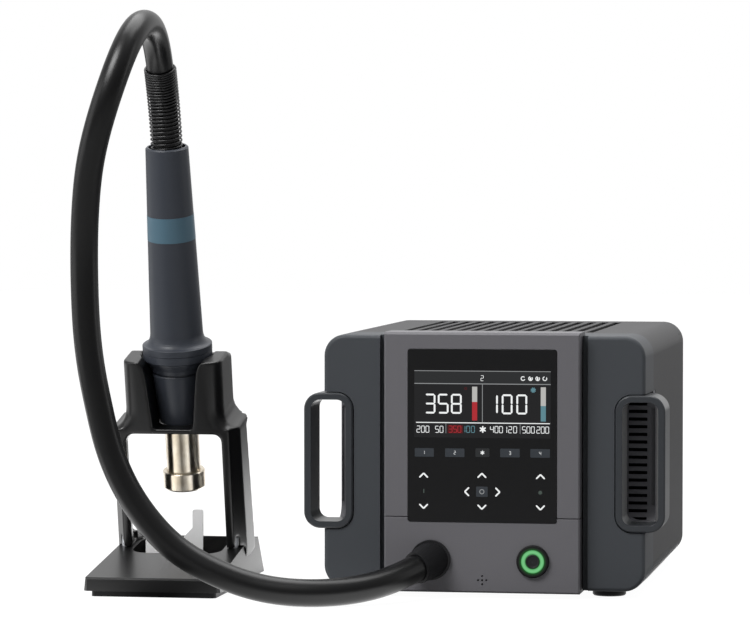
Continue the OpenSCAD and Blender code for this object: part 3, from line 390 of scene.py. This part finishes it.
spans = len(HOSE_ROUTE) - 1
hose_line = route_points([spans * i / HOSE_RINGS for i in range(HOSE_RINGS + 1)])
hose_line.reverse()
hose_frames = carried_frames(hose_line)
bm = bmesh.new()
add_tube(bm, hose_line, [f[1] for f in hose_frames], [f[0].cross(f[1]) for f in hose_frames],
         HOSE_RADIUS * HOSE_FIT, HOSE_SIDES)
hose = new_piece("silicone_hose", bm, hose_rubber)
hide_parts("air_hose")
# The bend runs from the boot to the high stretch beside the handset
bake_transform(hose)


# Spring guard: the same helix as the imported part, in rounder wire

GUARD_T0, GUARD_T1 = 0.35, 2.42
GUARD_TURNS, GUARD_STEPS, GUARD_SIDES = 24, 30, 8
GUARD_WIRE = 0.6
GUARD_RADIUS = HOSE_RADIUS + 0.45 + GUARD_WIRE
# The turns lie closer together towards the guard's end
GUARD_CROWDING = 0.24

count = GUARD_TURNS * GUARD_STEPS
spread = [i / count for i in range(count + 1)]
guard_line = route_points([
    GUARD_T0 + (GUARD_T1 - GUARD_T0) * ((1 + GUARD_CROWDING) * f - GUARD_CROWDING * f * f) for f in spread])
guard_frames = carried_frames(guard_line)
middles, spokes, backs = [], [], []
for i, (point, (along, across)) in enumerate(zip(guard_line, guard_frames)):
    a = 2 * math.pi * i / GUARD_STEPS
    spoke = math.cos(a) * across + math.sin(a) * along.cross(across)
    middles.append(point + GUARD_RADIUS * spoke)
    spokes.append(spoke)
    backs.append(-along)
bm = bmesh.new()
add_tube(bm, middles, spokes, backs, GUARD_WIRE, GUARD_SIDES)
guard = new_piece("guard_wire", bm, spring_wire)
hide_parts("spring_guard")
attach(guard, "handset")


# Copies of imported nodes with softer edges

def finished(piece, node):
    """Hides the node that the piece stands for and lets the piece ride with the unit."""
    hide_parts(node)
    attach(piece, "unit")


def node_copy(node):
    """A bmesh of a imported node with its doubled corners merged."""
    bm = bmesh.new()
    bm.from_mesh(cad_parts[node].data)
    bmesh.ops.remove_doubles(bm, verts=bm.verts, dist=1e-6)
    return bm


def applied(piece):
    """The piece's mesh with its modifiers made real, which are then removed."""
    mesh = bpy.data.meshes.new_from_object(piece.evaluated_get(bpy.context.evaluated_depsgraph_get()))
    piece.modifiers.clear()
    return mesh


def softened(node, width_mm, segments=3, angle=32.0):
    """A copy whose sharp edges get a small round, with its flat faces kept flat to the light."""
    bm = node_copy(node)
    bmesh.ops.dissolve_limit(bm, angle_limit=math.radians(0.6), verts=bm.verts, edges=bm.edges)
    piece = new_piece(node + "_soft", bm, finish_of[node])
    bevel = piece.modifiers.new("round", "BEVEL")
    bevel.width = width_mm * MM
    bevel.segments = segments
    bevel.limit_method = "ANGLE"
    bevel.angle_limit = math.radians(angle)
    bevel.use_clamp_overlap = True
    bevel.miter_outer = "MITER_ARC"
    weighted = piece.modifiers.new("flat faces", "WEIGHTED_NORMAL")
    weighted.weight = 50
    piece.data = applied(piece)
    finished(piece, node)


def cast_form(node, grid_mm=0.9, rounds=7):
    """A casting's soft edges and hollow corners: the solid on a fine grid along the lean, smoothed."""
    lean = Matrix.Rotation(LEAN, 4, "X")
    piece = new_piece(node + "_cast", node_copy(node), finish_of[node])
    piece.data.transform(lean.inverted())
    grid = piece.modifiers.new("grid", "REMESH")
    grid.mode = "VOXEL"
    grid.voxel_size = grid_mm * MM
    grid.use_smooth_shade = True
    smooth = piece.modifiers.new("smooth", "SMOOTH")
    smooth.factor = 0.5
    smooth.iterations = rounds
    mesh = applied(piece)
    mesh.transform(lean)
    if not mesh.materials:
        mesh.materials.append(finish_of[node])
    piece.data = mesh
    finished(piece, node)


softened("front_frame", 0.5)
softened("upper_panel", 0.4)
softened("lower_panel", 0.4)
softened("display_glass", 0.25, segments=2)
cast_form("stand_frame")
softened("stand_base", 0.6)
softened("nozzle_fork", 0.2, segments=2)
softened("handle_left", 0.5, angle=25.0)
softened("handle_right", 0.5, angle=25.0)


# Display marks: a node tree sets one bar on each point, with its turn and its length

def bar_tree():
    """Bars with pointed ends, one on each point of the input, in relief on the display."""
    tree = bpy.data.node_groups.new("lit_bars", "GeometryNodeTree")
    face = tree.interface
    face.new_socket("Points", in_out="INPUT", socket_type="NodeSocketGeometry")
    slim = face.new_socket("Slimness", in_out="INPUT", socket_type="NodeSocketFloat")
    slim.default_value = 0.2
    depth = face.new_socket("Depth", in_out="INPUT", socket_type="NodeSocketFloat")
    depth.default_value = 0.00008
    face.new_socket("Finish", in_out="INPUT", socket_type="NodeSocketMaterial")
    face.new_socket("Bars", in_out="OUTPUT", socket_type="NodeSocketGeometry")
    group_in = add_node(tree, "NodeGroupInput")
    group_out = add_node(tree, "NodeGroupOutput")
    circle = add_node(tree, "GeometryNodeMeshCircle", {"Vertices": 6, "Radius": 1.0}, fill_type="NGON")
    place = add_node(tree, "GeometryNodeInputPosition")
    parts = add_node(tree, "ShaderNodeSeparateXYZ", {0: place.outputs[0]})
    across = add_node(tree, "ShaderNodeMath", {0: parts.outputs["Y"], 1: 1.0 / math.sin(math.pi / 3)},
                      operation="MULTIPLY")
    half = add_node(tree, "ShaderNodeMath", {0: group_in.outputs["Slimness"], 1: 0.5},
                    operation="MULTIPLY")
    width = add_node(tree, "ShaderNodeMath", {0: across.outputs[0], 1: half.outputs[0]},
                     operation="MULTIPLY")
    inset = add_node(tree, "ShaderNodeMath", {0: width.outputs[0]}, operation="ABSOLUTE")
    reach = add_node(tree, "ShaderNodeMath", {0: 0.5, 1: inset.outputs[0]}, operation="SUBTRACT")
    side = add_node(tree, "ShaderNodeMath", {0: parts.outputs["X"]}, operation="SIGN")
    length = add_node(tree, "ShaderNodeMath", {0: side.outputs[0], 1: reach.outputs[0]},
                      operation="MULTIPLY")
    shape = add_node(tree, "ShaderNodeCombineXYZ", {"X": length.outputs[0], "Y": width.outputs[0]})
    bar = add_node(tree, "GeometryNodeSetPosition",
                   {"Geometry": circle.outputs["Mesh"], "Position": shape.outputs[0]})
    turn = add_node(tree, "GeometryNodeInputNamedAttribute", {"Name": "turn"}, data_type="FLOAT")
    size = add_node(tree, "GeometryNodeInputNamedAttribute", {"Name": "size"}, data_type="FLOAT")
    turned = add_node(tree, "ShaderNodeCombineXYZ", {"X": math.pi / 2, "Y": turn.outputs["Attribute"]})
    placed = add_node(tree, "GeometryNodeInstanceOnPoints",
                      {"Points": group_in.outputs["Points"], "Instance": bar.outputs["Geometry"],
                       "Rotation": turned.outputs[0], "Scale": size.outputs["Attribute"]})
    real = add_node(tree, "GeometryNodeRealizeInstances", {"Geometry": placed.outputs["Instances"]})
    thick = add_node(tree, "GeometryNodeExtrudeMesh",
                     {"Mesh": real.outputs["Geometry"], "Offset": (0.0, -1.0, 0.0),
                      "Offset Scale": group_in.outputs["Depth"], "Individual": False})
    back = add_node(tree, "GeometryNodeFlipFaces", {"Mesh": real.outputs["Geometry"]})
    joined = add_node(tree, "GeometryNodeJoinGeometry")
    tree.links.new(thick.outputs["Mesh"], joined.inputs[0])
    tree.links.new(back.outputs["Mesh"], joined.inputs[0])
    closed = add_node(tree, "GeometryNodeMergeByDistance",
                      {"Geometry": joined.outputs[0], "Distance": 0.000001})
    dressed = add_node(tree, "GeometryNodeSetMaterial",
                       {"Geometry": closed.outputs["Geometry"], "Material": group_in.outputs["Finish"]})
    tree.links.new(dressed.outputs["Geometry"], group_out.inputs["Bars"])
    return tree


BAR_TREE = bar_tree()
# Front face of the display cover, and how far each mark is sunk in it
GLASS_FRONT = -8.3
SUNK = 0.02

# Segments of a digit: place in half heights, and whether the bar stands up
SEGMENTS = {"a": (0, 1, 0), "b": (0.5, 0.5, 1), "c": (0.5, -0.5, 1), "d": (0, -1, 0),
            "e": (-0.5, -0.5, 1), "f": (-0.5, 0.5, 1), "g": (0, 0, 0)}
DIGITS = {"0": "abcdef", "1": "bc", "2": "abged", "3": "abgcd", "4": "fgbc", "5": "afgcd",
          "6": "afgedc", "7": "abc", "8": "abcdefg", "9": "abcdfg"}


def digit_bars(text, x, z, size, pitch):
    """Bars of a row of digits; x is the first digit's middle."""
    bars = []
    for i, digit in enumerate(text):
        for segment in DIGITS[digit]:
            dx, dz, upright = SEGMENTS[segment]
            bars.append((x + i * pitch + dx * size, z + dz * size, math.pi / 2 * upright, size * 0.98))
    return bars


def chevron_bars(x, z, way, size=4.0):
    """Two bars that meet in a point; way is the point's direction in degrees."""
    tip = math.radians(way)
    reach = size * 0.42
    bars = []
    for side in (-1, 1):
        turn = math.radians(way + side * 135)
        bars.append((x + reach * math.cos(turn) + 0.3 * size * math.cos(tip),
                     z + reach * math.sin(turn) + 0.3 * size * math.sin(tip), turn, size))
    return bars


def star_bars(x, z, size, arms=3, start=90.0):
    """Bars that cross in their middles."""
    return [(x, z, math.radians(start + 180.0 * i / arms), size) for i in range(arms)]


def bars_mesh(bars, proud, slim, material):
    """Mesh of the bars, made by the node tree and then applied."""
    mesh = bpy.data.meshes.new("points")
    mesh.from_pydata([at(x, GLASS_FRONT + SUNK, z) for x, z, _, _ in bars], [], [])
    for name, values in (("turn", [-b[2] for b in bars]), ("size", [b[3] * MM for b in bars])):
        attribute = mesh.attributes.new(name, "FLOAT", "POINT")
        attribute.data.foreach_set("value", values)
    holder = bpy.data.objects.new("points", mesh)
    bpy.context.scene.collection.objects.link(holder)
    modifier = holder.modifiers.new("bars", "NODES")
    modifier.node_group = BAR_TREE
    sockets = {s.name: s.identifier for s in BAR_TREE.interface.items_tree if s.in_out == "INPUT"}
    modifier[sockets["Slimness"]] = slim
    modifier[sockets["Depth"]] = (proud + SUNK) * MM
    modifier[sockets["Finish"]] = material
    bpy.context.view_layer.update()
    made = bpy.data.meshes.new_from_object(holder.evaluated_get(bpy.context.evaluated_depsgraph_get()))
    holder.modifiers.remove(modifier)
    bpy.data.objects.remove(holder)
    return made


def add_plate(bm, x0, x1, z0, z1, proud, index, radius=0.0):
    """A thin plate on the display, with its corners rounded by radius."""
    steps = (0, 0.25, 0.5, 0.75, 1) if radius else (0,)
    corners = []
    for cx, cz, start in ((x1 - radius, z1 - radius, 0), (x0 + radius, z1 - radius, 90),
                          (x0 + radius, z0 + radius, 180), (x1 - radius, z0 + radius, 270)):
        for step in steps:
            a = math.radians(start + 90 * step)
            corners.append((cx + radius * math.cos(a), cz + radius * math.sin(a)))
    add_prism(bm, corners, proud, index)


def add_prism(bm, corners, proud, index):
    """A prism from the display's face outwards, over an outline in x and z."""
    front = [bm.verts.new(at(x, GLASS_FRONT - proud, z)) for x, z in corners]
    back = [bm.verts.new(at(x, GLASS_FRONT + SUNK, z)) for x, z in corners]
    faces = [bm.faces.new(front), bm.faces.new(back[::-1])]
    for i in range(len(corners)):
        j = (i + 1) % len(corners)
        faces.append(bm.faces.new((front[j], front[i], back[i], back[j])))
    for face in faces:
        face.material_index = index


def add_ring(bm, x, z, outer, inner, proud, index, start=0.0, sweep=360.0, steps=20):
    """A ring or part of one, as a row of small prisms."""
    for k in range(steps):
        a0 = math.radians(start + sweep * k / steps)
        a1 = math.radians(start + sweep * (k + 1) / steps)
        corners = ((outer, a0), (outer, a1), (inner, a1), (inner, a0))
        add_prism(bm, [(x + r * math.cos(a), z + r * math.sin(a)) for r, a in corners], proud, index)


lit_white = glowing("lit_white", "#f4f6f6")
lit_grey = glowing("lit_grey", "#8d8f90")
lit_dim = glowing("lit_dim", "#4b5550")
lit_red = glowing("lit_red", "#ad3238")
lit_dark_red = glowing("lit_dark_red", "#542223")
lit_teal = glowing("lit_teal", "#5f8791")
lit_pale = glowing("lit_pale", "#b8b7b4")
screen_dark = glowing("screen_dark", "#282829")
screen_bar = glowing("screen_bar", "#313233")
key_cap = surface("touch_key", "#33383e", 0.35)
key_cap_dark = surface("touch_key_dark", "#26282a", 0.35)
MARKS = [lit_white, lit_grey, lit_dim, lit_red, lit_dark_red, lit_teal, screen_dark, screen_bar, key_cap,
         key_cap_dark, lit_pale]
WHITE, GREY, DIM, RED, DARK_RED, TEAL, SCREEN, SCREEN_BAR, KEY, KEY_DARK, PALE = range(len(MARKS))

# Layers of the marks by how far they stand proud, with a small step between marks of one layer
LOW, MID, HIGH = 0.02, 0.04, 0.06
STEP = 0.005

bm = bmesh.new()
# Screen, its status bar and its lines, each from x to x and from z to z
add_plate(bm, -39.6, 40.6, 94.2, 133.3, LOW, SCREEN)
add_plate(bm, -39.6, 40.6, 126.0, 133.0, MID, SCREEN_BAR)
for x0, x1, z0, z1, tint in (
        (-39.6, 40.6, 133.0, 133.4, GREY), (-39.6, 40.6, 125.5, 126.0, GREY),
        (0.35, 0.75, 103.2, 125.5, GREY), (-38.6, 40.2, 102.7, 103.2, WHITE),
        (-21.1, -20.8, 96.8, 102.6, GREY), (22.6, 22.9, 96.8, 102.6, GREY),
        (-5.5, -2.5, 104.4, 115.2, RED), (-5.5, -2.5, 115.2, 124.1, PALE),
        (34.8, 37.8, 104.2, 113.2, TEAL), (34.8, 37.8, 113.2, 124.1, PALE),
        (-19.9, -11.0, 96.8, 101.6, DARK_RED)):
    add_plate(bm, x0, x1, z0, z1, MID + STEP, tint)
# Keys, by their middle, width and height
for x, w, h, z, tint in ((-33.7, 11.3, 5.0, 85.4, KEY), (-15.7, 11.4, 5.0, 85.4, KEY),
                         (0.6, 8.2, 5.0, 85.6, KEY_DARK), (16.8, 11.5, 5.0, 85.6, KEY),
                         (34.5, 11.5, 5.0, 85.6, KEY), (0.3, 6.8, 6.0, 62.8, KEY)):
    add_plate(bm, x - w / 2, x + w / 2, z - h / 2, z + h / 2, LOW, tint, 0.5)
# Small round icons in the status bar, and the middle key's ring
for x in (24.4, 28.8, 33.0, 37.2):
    add_ring(bm, x, 129.1, 1.35, 0.85, HIGH, WHITE, start=40 + 60 * (x > 26), sweep=300)
add_plate(bm, 28.3, 29.3, 127.9, 129.7, HIGH + STEP, WHITE)
add_plate(bm, 32.6, 33.4, 128.2, 130.0, HIGH + STEP, WHITE)
add_ring(bm, 0.3, 62.8, 1.5, 1.0, HIGH, GREY)
add_ring(bm, -9.3, 123.0, 0.8, 0.45, HIGH, DARK_RED)

# Digits, stars and arrows: their bars, slimness and tint
bar_groups = [
    (digit_bars("358", -30.3, 114.0, 5.3, 7.75), 0.2, WHITE),
    (digit_bars("100", 6.5, 114.0, 5.3, 8.6), 0.2, WHITE),
    (digit_bars("200", -37.2, 99.0, 1.85, 2.65) + digit_bars("50", -26.2, 99.0, 1.85, 2.65)
     + digit_bars("400", 6.2, 99.2, 1.85, 2.65) + digit_bars("120", 14.0, 99.2, 1.85, 2.9)
     + digit_bars("500", 25.0, 99.2, 1.85, 2.6) + digit_bars("200", 33.4, 99.2, 1.85, 2.6)
     + digit_bars("2", 0.4, 129.1, 1.5, 2.4), 0.2, WHITE),
    (digit_bars("350", -18.2, 99.2, 1.85, 2.6), 0.2, RED),
    (digit_bars("100", -10.6, 99.2, 1.85, 2.8) + star_bars(30.4, 122.4, 3.4, 4, 20.0), 0.22, TEAL),
    (star_bars(0.8, 99.2, 4.2, 3, 30.0), 0.2, WHITE),
    (digit_bars("1", -34.1, 85.4, 0.95, 1) + digit_bars("2", -15.7, 85.4, 0.95, 1)
     + digit_bars("3", 16.8, 85.6, 0.95, 1) + digit_bars("4", 34.5, 85.6, 0.95, 1)
     + star_bars(0.6, 85.6, 2.6, 3, 90.0), 0.2, WHITE),
    (chevron_bars(-34.1, 72.0, 90) + chevron_bars(0.3, 72.3, 90) + chevron_bars(34.7, 72.0, 90)
     + chevron_bars(-34.1, 53.8, -90) + chevron_bars(0.3, 53.8, -90) + chevron_bars(34.7, 53.9, -90)
     + chevron_bars(-8.6, 62.7, 180) + chevron_bars(9.6, 62.7, 0), 0.22, WHITE),
    (star_bars(-34.0, 62.8, 2.6, 1) + star_bars(34.6, 62.7, 2.6, 4, 20.0), 0.24, DIM),
]
for bars, slim, tint in bar_groups:
    start = len(bm.faces)
    bm.from_mesh(bars_mesh(bars, HIGH, slim, MARKS[tint]))
    bm.faces.ensure_lookup_table()
    for face in bm.faces[start:]:
        face.material_index = tint
marks = new_piece("display_marks", bm, *MARKS)
for polygon in marks.data.polygons:
    polygon.use_smooth = False
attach(marks, "unit")


# Floor, world and lights

# Brightness of the table by bearing from the stand, in degrees from the front towards the right
TABLE_LIGHT = [(-180, 1.0), (-125, 0.6), (-108, 0.7), (-95, 0.3), (-87, 0.03), (-79, 0.05), (-68, 0.95),
               (-45, 1.0), (-20, 0.85), (-5, 0.08), (6, 0.06), (22, 0.6), (45, 1.0), (60, 0.9), (67, 0.08),
               (80, 0.05), (90, 0.9), (100, 1.9), (136, 1.9), (146, 0.2), (150, 0.2), (158, 1.2), (180, 1.3)]

TABLE_STRENGTH = 2.1
# The lit table ends in front, behind and on the right, in metres: where each fade starts and ends
TABLE_NEAR = (-0.24, -0.2)
TABLE_FAR = (0.7, 1.0)
TABLE_RIGHT = (0.15, 0.168)
# The dark patch under the unit, painted shade where the unit shades the table: its fade by the distance from
# the middle, in metres, and its squeeze
SHADE_PATCH_FADE = (0.065, 0.08)
SHADE_PATCH_SQUEEZE = (1.0, 0.85, 0.0)
FLOOR_HALF = 6.0
WHITE_LIGHT = grey(1.0)


def fade(tree, value, low, high, at_low=0.0, at_high=1.0):
    """A value's share of the way from low to high, given as a number between two others."""
    node = add_node(tree, "ShaderNodeMapRange", {"Value": value, "From Min": low, "From Max": high,
                                                 "To Min": at_low, "To Max": at_high})
    return node.outputs[0]


def product(tree, a, b):
    return add_node(tree, "ShaderNodeMath", {0: a, 1: b}, operation="MULTIPLY").outputs[0]


def mixed(tree, share, first, second):
    """The first shader where share is 0 and the second where it is 1."""
    return add_node(tree, "ShaderNodeMixShader", {0: share, 1: first, 2: second}).outputs[0]


def mirrored_table(tree, place, plain):
    """The table as reflections show it: bright with dark bands round the stand, and plain elsewhere."""
    foot = add_node(tree, "ShaderNodeVectorMath", {0: place, 1: at(*STAND_PLACE)}, operation="SUBTRACT")
    turned = add_node(tree, "ShaderNodeMapping",
                      {"Vector": foot.outputs[0], "Rotation": (0.0, 0.0, math.pi / 2)})
    bearing = add_node(tree, "ShaderNodeTexGradient", {"Vector": turned.outputs[0]},
                       gradient_type="RADIAL")
    ramp = add_node(tree, "ShaderNodeValToRGB", {"Fac": bearing.outputs["Fac"]})
    set_stops(ramp.color_ramp, [((degrees + 180) / 360, grey(level)) for degrees, level in TABLE_LIGHT])
    parts = add_node(tree, "ShaderNodeSeparateXYZ", {0: place})
    near = fade(tree, parts.outputs["Y"], *TABLE_NEAR)
    far = fade(tree, parts.outputs["Y"], *TABLE_FAR, at_low=1.0, at_high=0.0)
    right = fade(tree, parts.outputs["X"], *TABLE_RIGHT, at_low=1.0, at_high=0.0)
    extent = product(tree, product(tree, near, far), right)
    table = add_node(tree, "ShaderNodeEmission", {"Color": ramp.outputs[0], "Strength": TABLE_STRENGTH})
    return mixed(tree, extent, plain, table.outputs[0])


def table_paint():
    """Plain pale floor, white where the camera sees it and dark right under the bench unit as painted shade.
    """
    material = bpy.data.materials.new("pale_floor")
    material.use_nodes = True
    tree = material.node_tree
    tree.nodes.clear()
    path = add_node(tree, "ShaderNodeLightPath")
    place = add_node(tree, "ShaderNodeTexCoord").outputs["Object"]
    matt = add_node(tree, "ShaderNodeBsdfDiffuse", {"Color": grey(0.12)})
    glow = add_node(tree, "ShaderNodeEmission", {"Color": WHITE_LIGHT, "Strength": 0.97})
    seen = add_node(tree, "ShaderNodeAddShader", {0: matt.outputs[0], 1: glow.outputs[0]})
    plain = add_node(tree, "ShaderNodeBsdfDiffuse", {"Color": grey(0.3)}).outputs[0]
    unseen = mixed(tree, path.outputs["Is Glossy Ray"], plain, mirrored_table(tree, place, plain))
    open_table = mixed(tree, path.outputs["Is Camera Ray"], unseen, seen.outputs[0])
    centred = add_node(tree, "ShaderNodeVectorMath", {0: place, 1: at(*UNIT_PLACE)}, operation="SUBTRACT")
    oval = add_node(tree, "ShaderNodeVectorMath", {0: centred.outputs[0], 1: SHADE_PATCH_SQUEEZE},
                    operation="MULTIPLY")
    reach = add_node(tree, "ShaderNodeVectorMath", {0: oval.outputs[0]}, operation="LENGTH")
    # Painted shade: a dark matt floor right under the unit
    dark = add_node(tree, "ShaderNodeBsdfDiffuse", {"Color": grey(0.1)}).outputs[0]
    whole = mixed(tree, fade(tree, reach.outputs["Value"], *SHADE_PATCH_FADE), dark, open_table)
    add_node(tree, "ShaderNodeOutputMaterial", {"Surface": whole})
    return material


bm = bmesh.new()
bm.faces.new([bm.verts.new((x * FLOOR_HALF, y * FLOOR_HALF, 0.0))
              for x, y in ((-1, -1), (1, -1), (1, 1), (-1, 1))])
floor = new_piece("floor", bm, table_paint())


def studio_world():
    """White to the camera; else dim in front, brighter overhead and behind, as with a lit back wall."""
    world = bpy.data.worlds.new("studio")
    world.use_nodes = True
    tree = world.node_tree
    tree.nodes.clear()
    path = add_node(tree, "ShaderNodeLightPath")
    place = add_node(tree, "ShaderNodeTexCoord")
    parts = add_node(tree, "ShaderNodeSeparateXYZ", {0: place.outputs["Generated"]})
    overhead = fade(tree, parts.outputs["Z"], 0.0, 1.0, at_low=0.14, at_high=0.5)
    behind = fade(tree, parts.outputs["Y"], 0.1, 1.0, at_low=0.0, at_high=0.75)
    glow = add_node(tree, "ShaderNodeMath", {0: overhead, 1: behind}, operation="ADD")
    room = add_node(tree, "ShaderNodeBackground", {"Color": WHITE_LIGHT, "Strength": glow.outputs[0]})
    white = add_node(tree, "ShaderNodeBackground", {"Color": WHITE_LIGHT, "Strength": 1.0})
    either = mixed(tree, path.outputs["Is Camera Ray"], room.outputs[0], white.outputs[0])
    add_node(tree, "ShaderNodeOutputWorld", {"Surface": either})
    return world


bpy.context.scene.world = studio_world()


def area_light(name, place, target, width, height, watts):
    """A soft box at a place in metres, turned to its target."""
    data = bpy.data.lights.new(name, "AREA")
    data.shape = "RECTANGLE"
    data.size = width
    data.size_y = height
    data.energy = watts
    light = bpy.data.objects.new(name, data)
    bpy.context.scene.collection.objects.link(light)
    light.location = place
    light.rotation_euler = (Vector(target) - Vector(place)).to_track_quat("-Z", "Y").to_euler()


area_light("top_softbox", (0.1, 0.4, 1.7), (0.0, 0.0, 0.05), 1.6, 1.2, 22.0)
area_light("key_softbox", (-0.7, -1.1, 1.4), (0.0, 0.0, 0.08), 0.9, 0.7, 26.0)
area_light("left_softbox", (-1.46, -0.45, 0.35), (-0.1, 0.0, 0.15), 1.0, 1.2, 5.0)
area_light("right_strip", (1.3, 0.15, 0.35), (-0.12, 0.0, 0.15), 0.3, 1.1, 1.5)

bpy.context.scene.view_settings.view_transform = "Standard"
